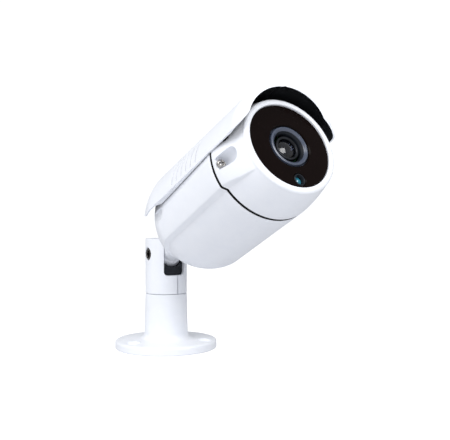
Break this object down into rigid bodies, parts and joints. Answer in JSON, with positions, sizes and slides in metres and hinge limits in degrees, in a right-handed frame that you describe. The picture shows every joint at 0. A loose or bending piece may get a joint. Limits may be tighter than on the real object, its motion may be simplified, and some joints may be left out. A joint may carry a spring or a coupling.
{
  "type": "bullet security camera",
  "caption": "Bullet security camera with a stepped round housing, sliding sunshield, dark front window and a swivel wall bracket with pan, tilt and roll.",
  "frame": {"origin": "centre of the bracket flange's underside, on the pan axis", "axes": "+Z away from the wall or ceiling along the pan axis, -Y the way the camera looks, +X to the camera's left"},
  "size_m": [0.0758, 0.1869, 0.1596],
  "materials": {
    "white_coat": "satin powder coat on die-cast aluminium",
    "black_plastic": "moulded, fine matt",
    "black_rubber": "moulded",
    "screw_steel": "bright",
    "window_panel": "polished, passes infrared",
    "trim_plastic": "satin, moulded",
    "lens_glass": "polished, coated",
    "photocell_glass": "clear, over a light cell",
    "board": "green solder mask",
    "led_resin": "cast resin",
    "carrier_metal": "as cast",
    "brass": "turned",
    "sensor_chip": "polished silicon under glass",
    "filter_glass": "coated",
    "copper_coil": "wound copper"
  },
  "bodies": {
    "base": {"base": "white_coat"},
    "fork": {"fork": "white_coat", "knuckle_cradle": "black_plastic", "pivot_screw_1": "screw_steel", "pivot_screw_2": "screw_steel", "pan_lock_screw": "screw_steel"},
    "arm": {"arm": "white_coat", "arm_seal": "black_rubber", "roll_nut": "screw_steel", "cable_grommet": "black_rubber"},
    "camera": {"housing": "white_coat", "cap_gasket": "black_rubber", "front_cap": "white_coat", "cap_screw_1": "screw_steel", "cap_screw_2": "screw_steel", "front_window": "window_panel", "window_seal": "black_rubber", "lens_trim_ring": "trim_plastic", "photocell_holder": "black_plastic", "photocell": "photocell_glass", "lens_holder": "black_plastic", "lens_holder_screw_1": "screw_steel", "lens_holder_screw_2": "screw_steel", "filter_coil": "copper_coil", "led_board": "board", "infrared_led_1": "led_resin", "infrared_led_2": "led_resin", "infrared_led_3": "led_resin", "infrared_led_4": "led_resin", "infrared_led_5": "led_resin", "infrared_led_6": "led_resin", "led_board_post_1": "brass", "led_board_post_2": "brass", "led_board_post_3": "brass", "board_carrier": "carrier_metal", "carrier_screw_1": "screw_steel", "carrier_screw_2": "screw_steel", "sensor_board_standoff_1": "brass", "sensor_board_standoff_2": "brass", "sensor_board_standoff_3": "brass", "sensor_board_standoff_4": "brass", "sensor_board": "board", "image_sensor": "sensor_chip", "main_board_spacer_1": "brass", "main_board_spacer_2": "brass", "main_board": "board", "main_board_screw_1": "screw_steel", "main_board_screw_2": "screw_steel", "sunshield_spacer_1": "screw_steel", "sunshield_spacer_2": "screw_steel", "sunshield_screw_1": "screw_steel", "sunshield_screw_2": "screw_steel"},
    "lens": {"lens_barrel": "black_plastic", "lens_front_element": "lens_glass", "lens_rear_element": "lens_glass"},
    "shuttle": {"filter_shuttle": "black_plastic", "infrared_filter": "filter_glass"},
    "shield": {"sunshield": "white_coat", "sunshield_bumper_1": "black_rubber", "sunshield_bumper_2": "black_rubber"}
  },
  "joints": [
    {"name": "pan", "type": "hinge", "parent": "base", "child": "fork", "pos_m": [0, 0, 0.0374], "axis": [0, 0, 1], "range_deg": [-180, 180]},
    {"name": "tilt", "type": "hinge", "parent": "fork", "child": "arm", "pos_m": [0, 0, 0.0647], "axis": [-1, 0, 0], "range_deg": [-24.57, 65.43]},
    {"name": "roll", "type": "hinge", "parent": "arm", "child": "camera", "pos_m": [0, -0.00079, 0.06297], "axis": [0, -0.9095, 0.4158], "range_deg": [-180, 180]},
    {"name": "sunshield_slide", "type": "slide", "parent": "camera", "child": "shield", "axis": [0, -0.9095, 0.4158], "range_m": [0, 0.008]},
    {"name": "lens_focus", "type": "hinge", "parent": "camera", "child": "lens", "pos_m": [0, -0.00079, 0.06297], "axis": [0, -0.9095, 0.4158], "range_deg": [-180, 180]},
    {"name": "filter_switch", "type": "slide", "parent": "camera", "child": "shuttle", "axis": [1, 0, 0], "range_m": [0, 0.007]}
  ]
}
